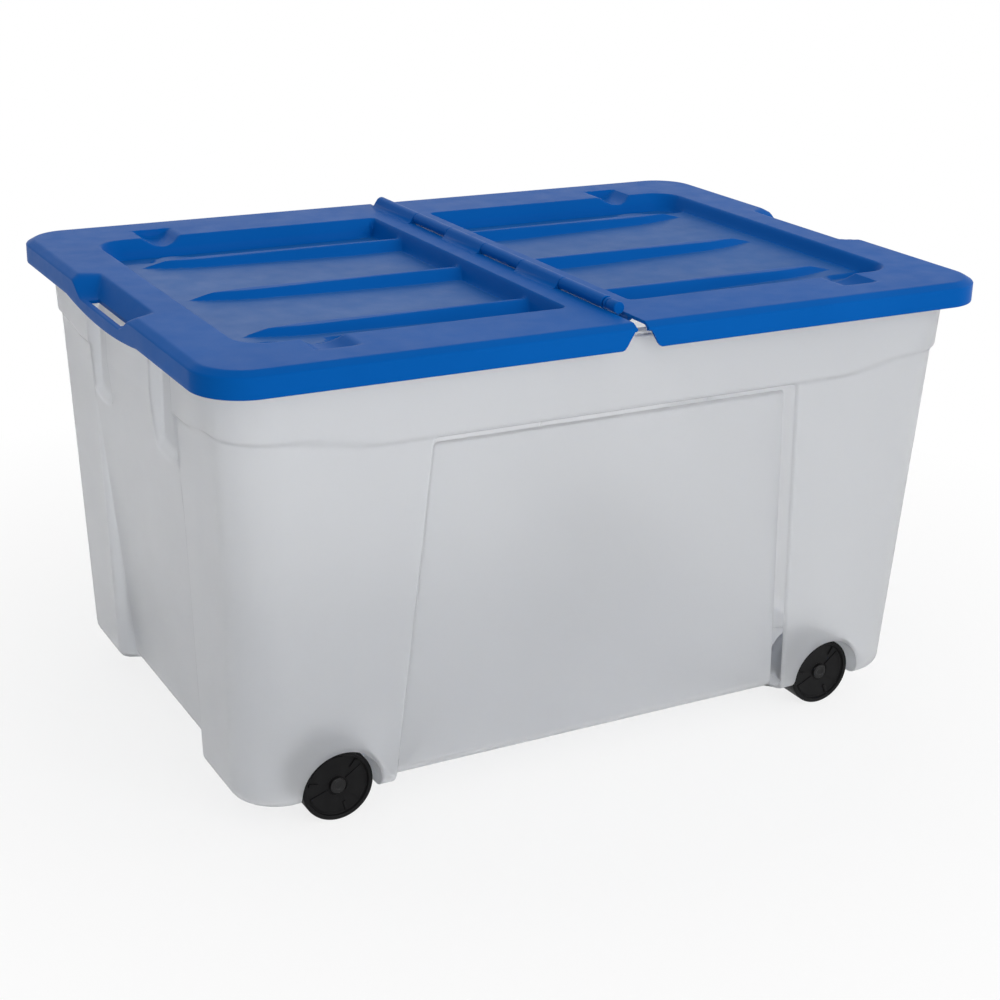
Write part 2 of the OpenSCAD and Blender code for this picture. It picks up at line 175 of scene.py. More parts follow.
def spread(*spans):
    """Sorted positions: each span is (start, end, step)."""
    lines = []
    for start, end, step in spans:
        lines += np.linspace(start, end, max(2, int(round(abs(end - start) / step)) + 1)).tolist()
    lines = sorted(lines)
    return np.array([v for i, v in enumerate(lines) if i == 0 or v - lines[i - 1] > 0.05])


def ramp(s, *knots):
    """Piecewise line through (position, value) knots, flat beyond its ends."""
    return np.interp(s, [k[0] for k in knots], [k[1] for k in knots])


def boolean(base, tool, operation):
    """Base with the tool joined or cut by a boolean; both are temporary objects."""
    mod = base.modifiers.new("cut", "BOOLEAN")
    mod.operation, mod.solver, mod.object = operation, "MANIFOLD", tool
    graph = bpy.context.evaluated_depsgraph_get()
    mesh = bpy.data.meshes.new_from_object(base.evaluated_get(graph))
    base.modifiers.remove(mod)
    base.data = mesh
    bpy.data.objects.remove(tool)
    return base


def finish_with(piece, name, material, smooth_deg=32):
    """Renames a built piece and gives it its material and shading."""
    mesh = piece.data
    bpy.data.objects.remove(piece)
    clean = bmesh.new()
    clean.from_mesh(mesh)
    bmesh.ops.remove_doubles(clean, verts=clean.verts, dist=2e-6)
    bmesh.ops.dissolve_degenerate(clean, edges=clean.edges, dist=1e-6)
    clean.to_mesh(mesh)
    clean.free()
    mesh.name = name
    return dress(mesh, name, material, smooth_deg)


# ---------------------------------------------------------------- materials

def finish_material(name, colour, roughness, specular=0.5, transmission=0.0, ior=1.49):
    """Principled plastic with its uniform values on the shader; returns material, nodes, links and shader."""
    material = bpy.data.materials.new(name)
    material.use_nodes = True
    nodes, links = material.node_tree.nodes, material.node_tree.links
    shader = nodes["Principled BSDF"]
    shader.inputs["Base Color"].default_value = (*colour, 1)
    shader.inputs["Roughness"].default_value = roughness
    shader.inputs["Transmission Weight"].default_value = transmission
    shader.inputs["IOR"].default_value = ior
    shader.inputs["Specular IOR Level"].default_value = specular
    return material, nodes, links, shader


def noise(nodes, links, scale, detail=3.0, stretch=(1, 1, 1)):
    """Noise texture on Object coordinates."""
    coords = nodes.new("ShaderNodeTexCoord")
    mapping = nodes.new("ShaderNodeMapping")
    mapping.inputs["Scale"].default_value = stretch
    texture = nodes.new("ShaderNodeTexNoise")
    texture.inputs["Scale"].default_value = scale
    texture.inputs["Detail"].default_value = detail
    links.new(coords.outputs["Object"], mapping.inputs["Vector"])
    links.new(mapping.outputs["Vector"], texture.inputs["Vector"])
    return texture.outputs["Fac"]


def vary_colour(nodes, links, shader, fac, dark, light, low=0.35, high=0.65):
    """Colour between two shades, driven by a texture."""
    shades = nodes.new("ShaderNodeValToRGB")
    shades.color_ramp.elements[0].position, shades.color_ramp.elements[1].position = low, high
    shades.color_ramp.elements[0].color, shades.color_ramp.elements[1].color = (*dark, 1), (*light, 1)
    links.new(fac, shades.inputs["Fac"])
    links.new(shades.outputs["Color"], shader.inputs["Base Color"])


def vary_roughness(nodes, links, shader, fac, low, high):
    """Roughness between two values, driven by a texture."""
    span = nodes.new("ShaderNodeMapRange")
    span.inputs["From Min"].default_value, span.inputs["From Max"].default_value = 0.3, 0.7
    span.inputs["To Min"].default_value, span.inputs["To Max"].default_value = low, high
    links.new(fac, span.inputs["Value"])
    links.new(span.outputs["Result"], shader.inputs["Roughness"])


def grain(nodes, links, shader, fac, distance, strength=0.3):
    """Moulded surface grain as bump."""
    bump = nodes.new("ShaderNodeBump")
    bump.inputs["Distance"].default_value, bump.inputs["Strength"].default_value = distance, strength
    links.new(fac, bump.inputs["Height"])
    links.new(bump.outputs["Normal"], shader.inputs["Normal"])


def lid_plastic():
    material, nodes, links, shader = finish_material("lid_plastic_blue", (0.001, 0.093, 0.38), 0.34, 0.022)
    vary_colour(nodes, links, shader, noise(nodes, links, 9.0), (0.0008, 0.09, 0.37), (0.0012, 0.096, 0.39))
    vary_roughness(nodes, links, shader, noise(nodes, links, 40.0), 0.3, 0.38)
    grain(nodes, links, shader, noise(nodes, links, 1400.0, 2.0), 0.00008, 0.35)
    return material


def lid_floor_painted_sheen():
    """A copy of the lid plastic for the floor of the sunk panel, with its own shade and a stronger specular:
    painted sheen for the lighter, greyer look the floor has at a grazing view; it is also rougher, with a
    stronger grain bump.
    """
    material, nodes, links, shader = finish_material(
        "lid_plastic_blue_painted_sheen", (0.001, 0.088, 0.33), 0.42, 0.11)
    vary_colour(nodes, links, shader, noise(nodes, links, 9.0), (0.0008, 0.085, 0.32), (0.0012, 0.091, 0.34))
    vary_roughness(nodes, links, shader, noise(nodes, links, 40.0), 0.38, 0.46)
    grain(nodes, links, shader, noise(nodes, links, 1100.0, 2.0), 0.00012, 0.45)
    return material


def tub_plastic():
    material, nodes, links, shader = finish_material(
        "tub_plastic_natural", (0.88, 0.89, 0.905), 0.42, 0.3, 0.82, 1.4)
    vary_colour(nodes, links, shader, noise(nodes, links, 5.0, 2.0, (1, 1, 0.35)),
                (0.87, 0.88, 0.895), (0.89, 0.9, 0.915))
    vary_roughness(nodes, links, shader, noise(nodes, links, 16.0), 0.38, 0.46)
    grain(nodes, links, shader, noise(nodes, links, 1100.0, 2.0), 0.00008, 0.3)
    return material


def wheel_plastic():
    material, nodes, links, shader = finish_material(
        "wheel_plastic_black", (0.006, 0.006, 0.0065), 0.48, 0.12)
    vary_colour(nodes, links, shader, noise(nodes, links, 60.0),
                (0.005, 0.005, 0.0055), (0.008, 0.008, 0.0085))
    vary_roughness(nodes, links, shader, noise(nodes, links, 150.0), 0.42, 0.56)
    grain(nodes, links, shader, noise(nodes, links, 1800.0, 2.0), 0.0001, 0.4)
    return material


def axle_plastic():
    material, nodes, links, shader = finish_material("axle_plastic_black", (0.012, 0.012, 0.0125), 0.42, 0.2)
    vary_colour(nodes, links, shader, noise(nodes, links, 90.0), (0.01, 0.01, 0.0105), (0.015, 0.015, 0.0155))
    vary_roughness(nodes, links, shader, noise(nodes, links, 200.0), 0.36, 0.5)
    grain(nodes, links, shader, noise(nodes, links, 2000.0, 2.0), 0.00008, 0.35)
    return material


LID_PLASTIC, LID_FLOOR_PAINTED_SHEEN, TUB_PLASTIC = lid_plastic(), lid_floor_painted_sheen(), tub_plastic()
WHEEL_PLASTIC, AXLE_PLASTIC = wheel_plastic(), axle_plastic()


# ---------------------------------------------------------------- lid halves

SOFTEN = [(0.0, 0.0)] + [(r * math.cos(t), r * math.sin(t)) for r, n in ((0.75, 6), (1.5, 10))
                         for t in np.linspace(0, 2 * math.pi, n, endpoint=False)]


def corner_distance(x, y, inner, outer, half, r_in, r_out):
    """Distance inside a rounded rectangle, and its nearest wall: 0 end, 1 long side, -1 hinge side."""
    y = np.abs(y)
    to_end, to_side, to_hinge = outer - x, half - y, x - inner
    dist = np.minimum(np.minimum(to_end, to_side), to_hinge)
    wall = np.where(to_side <= np.minimum(to_end, to_hinge), 1.0, np.where(to_end < to_hinge, 0.0, -1.0))
    dx, dy = x - (outer - r_out), y - (half - r_out)
    round_out = (dx > 0) & (dy > 0)
    dist = np.where(round_out, r_out - np.hypot(dx, dy), dist)
    wall = np.where(round_out, np.arctan2(dy, dx) / (math.pi / 2), wall)
    dx, dy = (inner + r_in) - x, y - (half - r_in)
    round_in = (dx > 0) & (dy > 0)
    dist = np.where(round_in, r_in - np.hypot(dx, dy), dist)
    wall = np.where(round_in, np.where(dy > dx, 1.0, -1.0), wall)
    return dist, wall


def recess_fall(x, y, grow):
    """Depth of the sunk panel: a two-step wall on the long sides, a plain slope at its other walls."""
    dist, wall = corner_distance(x, y, RECESS_IN - grow, RECESS_OUT + grow, RECESS_B + grow,
                                 RECESS_R_IN + grow, RECESS_R_OUT + grow)
    side = ramp(dist, (0, 0), (STEP_RUN, RECESS_DEPTH / 2), (SIDE_RUN, RECESS_DEPTH))
    end = ramp(dist, (0, 0), (END_RUN, RECESS_DEPTH))
    hinge = ramp(dist, (0, 0), (HINGE_RUN, RECESS_DEPTH))
    return np.where(wall < 0, hinge, side * np.clip(wall, 0, 1) + end * (1 - np.clip(wall, 0, 1)))


def pocket_fall(x, y, grow):
    """Depth of the pocket that takes a wheel of a box on top."""
    dx, y = x - POCKET_X, np.abs(y)
    r = POCKET_R + grow
    bowl = np.sqrt(np.maximum(r * r - dx * dx, 0)) - (r - POCKET_DEPTH - grow) - grow
    return np.clip(bowl, 0, None) * ramp(y, (POCKET_END + grow - 1.2, 1), (POCKET_END + grow, 0)) * (y > 150)


def pad_rise(x, y, grow):
    """Rise of the sunk panel's floor towards its outer end; its border bulges beside each pocket."""
    y = np.abs(y)
    slope = PAD_RISE * np.clip((x - PAD_START) / (PAD_END - PAD_START), 0, 1)
    inside = np.maximum(PAD_B - y, BULGE_R - np.hypot(x - POCKET_X, y - PAD_B)) - grow
    return slope * ramp(inside, (-9, 0), (-6, 0.15), (-2, 0.85), (0, 1))


def grip_fall(x, y, grow):
    """Depth of the hand recess, open at the end of the lid."""
    y = np.abs(y)
    t = (x - GRIP_IN) / (LID_A - GRIP_IN)
    top = GRIP_HALF + grow + GRIP_SPLAY * t
    foot = GRIP_FOOT_HALF + grow + GRIP_SPLAY / 2 * t
    ends = np.clip((top - y) / (top - foot), 0, 1)
    ends = ends * ends * (3 - 2 * ends) * 0.6 + ends * 0.4
    inner = np.clip((x - GRIP_IN + grow) / (GRIP_FOOT - GRIP_IN), 0, 1)
    return GRIP_DROP * np.minimum(ends, inner)


def rib_rise(x, y):
    """Height of the three ribs over the lowest floor: level on top, and pointed towards the end."""
    t = np.sin(np.clip((RIB_TIP - x) / RIB_TAPER, 0, 1) * math.pi / 2)
    off = np.min([np.abs(y - k * RIB_PITCH) for k in (-1, 0, 1)], axis=0)
    floor = pad_rise(x, y, 0)
    return floor + np.clip(np.minimum(RIB_H - floor, RIB_HALF * t - off), 0, None)


def lid_top_height(x, y, edge):
    """Height of the upper face over the flat top; edge is the distance in from the outline."""
    total = np.zeros_like(x)
    for dx, dy in SOFTEN:
        px, py = x + dx, y + dy
        sunk = np.minimum(recess_fall(px, py, 0), RECESS_DEPTH - pad_rise(px, py, 0))
        floor = -np.maximum(sunk, pocket_fall(px, py, 0))
        rib = np.where((px > RECESS_IN + 1) & (px < RECESS_OUT), rib_rise(px, py) - RECESS_DEPTH, -99)
        lip = -ramp(edge + dx, (0, EDGE_DROP), (EDGE_RUN, 0))
        total += np.minimum(np.maximum(floor, rib), np.minimum(lip, -grip_fall(px, py, 0)))
    total /= len(SOFTEN)
    total -= ROUND_DROP * np.clip(1 - edge / ROUND_RUN, 0, 1) ** 2
    return total - GAP_DROP * np.clip(1 - (x - LID_GAP) / GAP_RUN, 0, 1) ** 2


def lid_under_height(x, y, edge):
    """Height of the lower face: the same form grown by the wall."""
    t = LID_WALL
    lip = -ramp(edge, (0, EDGE_DROP), (EDGE_RUN, 0))
    sunk = np.minimum(recess_fall(x, y, t), RECESS_DEPTH - pad_rise(x, y, t))
    falls = np.maximum(sunk, pocket_fall(x, y, t))
    return -t - np.maximum(falls, np.maximum(-lip, grip_fall(x, y, t)))


EDGE_LINES = [0, 0.5, 1.1, 2, 3.2, 5, 6.2, 7.4, 8.6, 10, 12, 13.6, 15, 16.2, 17.6, 19.2, 21, 23, 24.6, 25.6,
              26.4,
              27.2, 28.4, 31, 34.5, 38, 40.3, 41.1, 41.9, 42.8, LID_CORNER]


def lid_lines():
    """Grid lines along X and Y, close together where the form bends."""
    edge_x = LID_A - np.array(EDGE_LINES)
    edge_y = LID_B - np.array(EDGE_LINES)
    x = spread((LID_GAP, 8, 0.5), (8, 31, 4.6), (31.5, 41.5, 0.9), (42, 240, 14), (243, 308, 3.4),
               (308, RECESS_OUT + 3, 1.5), (RECESS_OUT + 3.5, LID_A - LID_CORNER - 2, 4))
    x = np.concatenate([x, edge_x[::-1]])
    y = spread((0, 15, 1.5), (18, 44, 6), (46, 58, 2), (58, 118, 4), (120.5, 162.5, 1.5), (165, 176, 2.7),
               (178, RECESS_B + 2.5, 1.35), (RECESS_B + 4, LID_B - LID_CORNER - 2.5, 2.6),
               (SLOT_HALF, SLOT_HALF, 1))
    y = np.concatenate([y, edge_y[::-1]])
    return x, np.concatenate([-y[:0:-1], y])


def round_the_corner(x, y, a, b, r):
    """Moves grid points of a square corner onto a round one."""
    dx, dy = (x - (a - r)) / r, (np.abs(y) - (b - r)) / r
    inside = (dx > 0) & (dy > 0)
    m = np.maximum(dx, dy)
    with np.errstate(divide="ignore", invalid="ignore"):
        angle = np.where(dx >= dy, math.pi / 4 * dy / dx, math.pi / 2 - math.pi / 4 * dx / dy)
    angle = np.where(inside, angle, 0)
    nx = np.where(inside, a - r + r * m * np.cos(angle), x)
    ny = np.where(inside, (b - r + r * m * np.sin(angle)) * np.sign(y), y)
    return nx, ny


def skirt_low(y, at_end):
    """Lower edge of the skirt: it hangs lower under the hand recess."""
    s = np.clip(1 - (y / SAG_HALF) ** 2, 0, None)
    return -SKIRT_H - SAG * s * at_end


def notch_x(z):
    """Where the skirt's sloped corner at the hinge starts, at a height under the flat top."""
    return ramp(-z, (2.5, LID_GAP), (8.5, 10), (20, 16.5), (22, 18.5), (SKIRT_H, 21))


def lid_sheets():
    """Outer and inner sheets of the right half, with the same faces."""
    gx, gy = lid_lines()
    nx, ny = len(gx), len(gy)
    X, Y = np.meshgrid(gx, gy, indexing="ij")
    edge = np.minimum(LID_A - X, LID_B - np.abs(Y))
    shift = np.where(edge < 5, 3 - 0.6 * edge, 0)
    ox, oy = round_the_corner(X, Y, LID_A, LID_B, LID_CORNER)
    ix = np.where(LID_A - X < 5, X - (3 - 0.6 * (LID_A - X)), X)
    iy = np.where(LID_B - np.abs(Y) < 5, Y - np.sign(Y) * (3 - 0.6 * (LID_B - np.abs(Y))), Y)
    ix, iy = round_the_corner(ix, iy, LID_A - 3, LID_B - 3, LID_CORNER - 3)
    outer = np.stack([ox, oy, lid_top_height(ox, oy, edge)], -1).reshape(-1, 3)
    inner = np.stack([ix, iy, lid_under_height(ix, iy, np.maximum(edge - shift, 0))], -1).reshape(-1, 3)
    i, j = np.meshgrid(np.arange(nx - 1), np.arange(ny - 1), indexing="ij")
    i, j = i.ravel(), j.ravel()
    mid_x, mid_y = (gx[i] + gx[i + 1]) / 2, (gy[j] + gy[j + 1]) / 2
    slot = (mid_x > GRIP_FOOT) & (mid_x < SLOT_OUT) & (np.abs(mid_y) < SLOT_HALF)
    i, j = i[~slot], j[~slot]
    faces = np.stack([i * ny + j, (i + 1) * ny + j, (i + 1) * ny + j + 1, i * ny + j + 1], -1)

    ring = [k * ny for k in range(nx)] + [(nx - 1) * ny + k for k in range(1, ny)]
    ring += [k * ny + ny - 1 for k in range(nx - 2, -1, -1)]
    ring = np.array(ring)
    top_out, top_in = outer[ring], inner[ring]
    at_end = np.clip((top_out[:, 0] - (LID_A - 1)) / 0.5, 0, 1)
    low = skirt_low(top_out[:, 1], at_end)
    step = np.gradient(top_out[:, :2], axis=0)
    normal = np.stack([step[:, 1], -step[:, 0]], -1)
    normal /= np.linalg.norm(normal, axis=1, keepdims=True)
    lines_out = [(0.05, None, 0.0), (0.4, None, 0), (0.75, None, 0),
                 (None, 1.2, 0), (None, 0.35, 0.3), (None, 0, 1.0)]
    lines_in = [(0.05, None, 0.0), (0.4, None, 0), (0.75, None, 0),
                (None, 1.2, 0), (None, 0.35, -0.3), (None, 0, -1.0)]
    previous = ring
    count = len(outer)
    for k, (a, b) in enumerate(zip(lines_out, lines_in)):
        for sheet, top, (share, above, inset) in (("o", top_out, a), ("i", top_in, b)):
            z = top[:, 2] + (low - top[:, 2]) * share if share is not None else low + above
            xy = top[:, :2] - normal * inset
            start = notch_x(z)
            run = np.where(np.abs(top[:, 1]) > LID_B - 20, np.clip((60 - xy[:, 0]) / (60 - LID_GAP), 0, 1), 0)
            pts = np.stack([xy[:, 0] + (start - LID_GAP) * run, xy[:, 1], z], -1)
            if sheet == "o":
                outer = np.concatenate([outer, pts])
            else:
                inner = np.concatenate([inner, pts])
        current = np.arange(count + k * len(ring), count + (k + 1) * len(ring))
        strip = np.stack([previous[:-1], current[:-1], current[1:], previous[1:]], -1)
        faces = np.concatenate([faces, strip])
        previous = current
    return outer, inner, faces


def knuckle_mesh(length, side):
    """One hinge knuckle with its web, as a bored closed shape along Y, ready for its row."""
    turn = [math.radians(a) for a in range(32, 271, 7)]
    curve = [(KNUCKLE_R * math.cos(t), HINGE_RISE + KNUCKLE_R * math.sin(t)) for t in turn]
    top = [(13.5, -0.5), (12.0, -0.1), (10.2, 0.7), (8.6, 2.4), (7.2, 4.7)]
    outline = [(0, -KNUCKLE_R + HINGE_RISE), (9.0, -2.95), (13.5, -2.9)] + top + curve[:-1]
    rings = []
    for y, inset in ((0, 0.5), (0.5, 0), (length - 0.5, 0), (length, 0.5)):
        ring = []
        for x, z in outline:
            reach = math.hypot(x, z - HINGE_RISE)
            share = (reach - inset) / reach
            ring.append((side * x * share, y, HINGE_RISE + (z - HINGE_RISE) * share))
        rings.append(ring)
    bore = []
    for y in (0, length):
        bore.append([(side * (ROD_R + ROD_CLEAR) * math.cos(a), y,
                      HINGE_RISE + (ROD_R + ROD_CLEAR) * math.sin(a))
                     for a in [math.atan2(z - HINGE_RISE, x) for x, z in outline]])
    loops = [bore[0]] + rings + [bore[1]]
    n = len(outline)
    verts = [p for loop in loops for p in loop]
    faces = []
    for k in range(len(loops)):
        low, high = k * n, (k + 1) % len(loops) * n
        for i in range(n):
            j = (i + 1) % n
            quad = [low + i, low + j, high + j, high + i]
            faces.append(quad if side > 0 else quad[::-1])
    return verts, faces


def knuckle_row_tree():
    """Geometry Nodes: copies of a knuckle along the hinge, at a pitch along Y."""
    tree = bpy.data.node_groups.new("knuckle_row", "GeometryNodeTree")
    face = tree.interface
    face.new_socket("Geometry", in_out="INPUT", socket_type="NodeSocketGeometry")
    count = face.new_socket("Knuckles", in_out="INPUT", socket_type="NodeSocketInt")
    pitch = face.new_socket("Pitch", in_out="INPUT", socket_type="NodeSocketFloat")
    plastic = face.new_socket("Plastic", in_out="INPUT", socket_type="NodeSocketMaterial")
    face.new_socket("Geometry", in_out="OUTPUT", socket_type="NodeSocketGeometry")
    nodes, links = tree.nodes, tree.links
    given, out = nodes.new("NodeGroupInput"), nodes.new("NodeGroupOutput")
    line, offset = nodes.new("GeometryNodeMeshLine"), nodes.new("ShaderNodeCombineXYZ")
    place, real = nodes.new("GeometryNodeInstanceOnPoints"), nodes.new("GeometryNodeRealizeInstances")
    paint = nodes.new("GeometryNodeSetMaterial")
    links.new(given.outputs["Knuckles"], line.inputs["Count"])
    links.new(given.outputs["Pitch"], offset.inputs["Y"])
    links.new(offset.outputs["Vector"], line.inputs["Offset"])
    links.new(line.outputs["Mesh"], place.inputs["Points"])
    links.new(given.outputs["Geometry"], place.inputs["Instance"])
    links.new(place.outputs["Instances"], real.inputs["Geometry"])
    links.new(real.outputs["Geometry"], paint.inputs["Geometry"])
    links.new(given.outputs["Plastic"], paint.inputs["Material"])
    links.new(paint.outputs["Geometry"], out.inputs["Geometry"])
    return tree, {"Knuckles": count.identifier, "Pitch": pitch.identifier, "Plastic": plastic.identifier}


def grown(piece, tree, sockets, values):
    """Runs a Geometry Nodes tree on a piece and keeps its result as a plain mesh."""
    mod = piece.modifiers.new(tree.name, "NODES")
    mod.node_group = tree
    for name, value in values.items():
        mod[sockets[name]] = value
    graph = bpy.context.evaluated_depsgraph_get()
    mesh = bpy.data.meshes.new_from_object(piece.evaluated_get(graph))
    piece.modifiers.remove(mod)
    piece.data = mesh
    return piece


def paint_floor_sheen(half):
    """Puts the painted sheen on the floor of the sunk panel: the level, up-facing faces deep in the panel,
    not the ribs.
    """
    mesh = half.data
    mesh.materials.append(LID_FLOOR_PAINTED_SHEEN)
    centres, normals = np.empty(len(mesh.polygons) * 3), np.empty(len(mesh.polygons) * 3)
    mesh.polygons.foreach_get("center", centres)
    mesh.polygons.foreach_get("normal", normals)
    x, y, z = (centres.reshape(-1, 3) / MM).T
    deep = recess_fall(np.abs(x), y, 0) > RECESS_DEPTH - 1
    # level, up-facing faces deep in the panel: these take the painted sheen material
    floor = deep & (normals[2::3] > 0.97) & (z < LID_TOP - RIB_H + 1) & (z > LID_TOP - RECESS_DEPTH - 1)
    mesh.polygons.foreach_set("material_index", floor.astype(np.int32))


def make_lid_half(name, side, first, row):
    """Lid half with its three knuckles joined on."""
    outer, inner, faces = lid_sheets()
    verts, faces = join_sheets(outer, inner, faces)
    verts = verts * [side, 1, 1] + [0, 0, LID_TOP]
    if side < 0:
        faces = faces[:, ::-1]
    half = new_piece(name + "_plate", verts, faces, LID_PLASTIC)
    for k in range(first, KNUCKLES, 2):
        back = HINGE_BACK - (0 if k == 0 else FIRST_LONGER) - k * KNUCKLE_PITCH - KNUCKLE_GAP / 2
        front = HINGE_BACK - FIRST_LONGER - (k + 1) * KNUCKLE_PITCH + KNUCKLE_GAP / 2
        if k > first:
            continue
        if k == 0:
            long_one = knuckle_mesh(back - front, side)
            points = np.array(long_one[0]) + [0, front, LID_TOP]
            boolean(half, new_piece("long_knuckle", points, long_one[1], LID_PLASTIC), "UNION")
            k, front = 2, front - 2 * KNUCKLE_PITCH
            back = front + KNUCKLE_PITCH - KNUCKLE_GAP
        count = len(range(k, KNUCKLES, 2))
        points, quads = knuckle_mesh(back - front, side)
        last = front - 2 * KNUCKLE_PITCH * (count - 1)
        piece = new_piece("knuckles", np.array(points) + [0, last, LID_TOP], quads, LID_PLASTIC)
        tree, sockets = row
        values = {"Knuckles": count, "Pitch": 2 * KNUCKLE_PITCH * MM, "Plastic": LID_PLASTIC}
        grown(piece, tree, sockets, values)
        boolean(half, piece, "UNION")
    half = finish_with(half, name, LID_PLASTIC, 30)
    paint_floor_sheen(half)
    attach(half, name.replace("_cover", ""))
    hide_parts(name.replace("_cover", ""))
    return half


# ---------------------------------------------------------------- hinge rod, wheels and axle stubs

def make_hinge_rod():
    """Rod with a grooved head at the front, its edges eased."""
    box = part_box("hinge_rod")
    front, back = box[0][1] / MM, box[1][1] / MM
    head, neck = KNUCKLE_R - 0.7, HINGE_FRONT - 1.5
    line = [(0, front), (head, front), (head, neck - 5), (head - 1, neck - 5), (head - 1, neck - 4),
            (head, neck - 4), (head, neck), (ROD_R, neck), (ROD_R, back), (0, back)]
    profile = filleted(line, [1.2, 0.3, 0.2, 0.2, 0.3, 0.4, 0.2, 0.6])
    verts, faces = lathe(profile, (0, HINGE_Z), 1, 48)
    rod = new_piece("hinge_rod_turned", verts, [f[::-1] for f in faces], LID_PLASTIC, 40)
    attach(rod, "hinge_rod")
    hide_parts("hinge_rod")


def wheel_marks_tree():
    """Geometry Nodes: a part of the web repeated round the hub."""
    tree = bpy.data.node_groups.new("round_the_hub", "GeometryNodeTree")
    face = tree.interface
    face.new_socket("Geometry", in_out="INPUT", socket_type="NodeSocketGeometry")
    count = face.new_socket("Copies", in_out="INPUT", socket_type="NodeSocketInt")
    plastic = face.new_socket("Plastic", in_out="INPUT", socket_type="NodeSocketMaterial")
    face.new_socket("Geometry", in_out="OUTPUT", socket_type="NodeSocketGeometry")
    nodes, links = tree.nodes, tree.links
    given, out = nodes.new("NodeGroupInput"), nodes.new("NodeGroupOutput")
    line, index = nodes.new("GeometryNodeMeshLine"), nodes.new("GeometryNodeInputIndex")
    share, turn = nodes.new("ShaderNodeMath"), nodes.new("ShaderNodeMath")
    angle = nodes.new("ShaderNodeCombineXYZ")
    place, real = nodes.new("GeometryNodeInstanceOnPoints"), nodes.new("GeometryNodeRealizeInstances")
    paint = nodes.new("GeometryNodeSetMaterial")
    share.operation, turn.operation = "DIVIDE", "MULTIPLY"
    turn.inputs[1].default_value = 2 * math.pi
    line.inputs["Offset"].default_value = (0, 0, 0)
    links.new(given.outputs["Copies"], line.inputs["Count"])
    links.new(index.outputs[0], share.inputs[0])
    links.new(given.outputs["Copies"], share.inputs[1])
    links.new(share.outputs[0], turn.inputs[0])
    links.new(turn.outputs[0], angle.inputs["Y"])
    links.new(line.outputs["Mesh"], place.inputs["Points"])
    links.new(given.outputs["Geometry"], place.inputs["Instance"])
    links.new(angle.outputs["Vector"], place.inputs["Rotation"])
    links.new(place.outputs["Instances"], real.inputs["Geometry"])
    links.new(real.outputs["Geometry"], paint.inputs["Geometry"])
    links.new(given.outputs["Plastic"], paint.inputs["Material"])
    links.new(paint.outputs["Geometry"], out.inputs["Geometry"])
    return tree, {"Copies": count.identifier, "Plastic": plastic.identifier}


def fan_plate(r0, r1, half_deg, rise):
    """Slightly raised fan of the wheel's web, drawn about the axis, with a stepped outer edge."""
    steps = 10
    rings = []
    for y, ease in ((-1.0, 0.0), (rise - 0.3, 0.0), (rise, 0.35)):
        angles = [math.radians(-half_deg + 2 * half_deg * k / steps) for k in range(steps + 1)]
        outer = [((r1 - ease) * math.cos(t), y, (r1 - ease) * math.sin(t)) for t in angles]
        inner = [((r0 + ease) * math.cos(t), y, (r0 + ease) * math.sin(t)) for t in angles[::-1]]
        rings.append(outer + inner)
    n = len(rings[0])
    verts = [p for ring in rings for p in ring]
    faces = [[low * n + i, low * n + (i + 1) % n, (low + 1) * n + (i + 1) % n, (low + 1) * n + i]
             for low in range(2) for i in range(n)]
    for k in range(steps):
        a, b, c, d = k, k + 1, n - 2 - k, n - 1 - k
        faces.append([d, c, b, a])
        faces.append([a + 2 * n, b + 2 * n, c + 2 * n, d + 2 * n])
    return verts, [f[::-1] for f in faces]


def make_wheel(end, side_name, tree_and_sockets):
    """Wheel with a rounded tread, a dished web with raised fans, and a hollow back."""
    side, way = SIDES[side_name], 1 if end == "rear" else -1
    web_face, web_back = WHEEL_FACE - DISH, WHEEL_FACE - DISH - WEB
    bore, dish_r = AXLE_R + ROD_CLEAR, WHEEL_R - TREAD
    line = [(bore, WHEEL_BACK), (HUB_R, WHEEL_BACK), (HUB_R, web_back),
            (dish_r, web_back), (dish_r, WHEEL_BACK),
            (WHEEL_R, WHEEL_BACK), (WHEEL_R, WHEEL_FACE),
            (dish_r + 0.4, WHEEL_FACE), (dish_r - 0.3, web_face),
            (bore, web_face)]
    profile = filleted(line, [0.8, 1.2, 1.2, 0.8, 2.2, 1.6, 0.8, 1.0])
    verts, rings = lathe(profile + [profile[0]], (0, 0), 1, 96)
    wheel = new_piece("wheel_body", verts, [f[::-1] for f in rings], WHEEL_PLASTIC, 40)
    weld(wheel)
    tree, sockets = tree_and_sockets
    plate, faces = fan_plate(*FAN)
    points = np.array(plate) + [0, web_face, 0]
    fans = new_piece("fans", points, faces, WHEEL_PLASTIC)
    make_outward(fans)
    grown(fans, tree, sockets, {"Copies": 3, "Plastic": WHEEL_PLASTIC})
    boolean(wheel, fans, "UNION")
    mark, faces = fan_plate(*MARK)
    turned = Matrix.Rotation(math.radians(MARK_TURN), 3, "Y")
    points = np.array([turned @ Vector(p) for p in mark]) + [0, web_face, 0]
    marks = new_piece("marks", points, faces, WHEEL_PLASTIC)
    make_outward(marks)
    grown(marks, tree, sockets, {"Copies": 3, "Plastic": WHEEL_PLASTIC})
    boolean(wheel, marks, "UNION")
    place = Matrix.Translation((side * WHEEL_X * MM, 0, WHEEL_Z * MM))
    if way < 0:
        place = place @ Matrix.Rotation(math.pi, 4, "Z")
    place = place @ Matrix.Rotation((FRONT_TURN if way < 0 else REAR_TURN) * side, 4, "Y")
    wheel.data.transform(place)
    name = f"wheel_{end}_{side_name}"
    wheel = finish_with(wheel, name + "_moulded", WHEEL_PLASTIC, 35)
    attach(wheel, name)
    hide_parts(name)


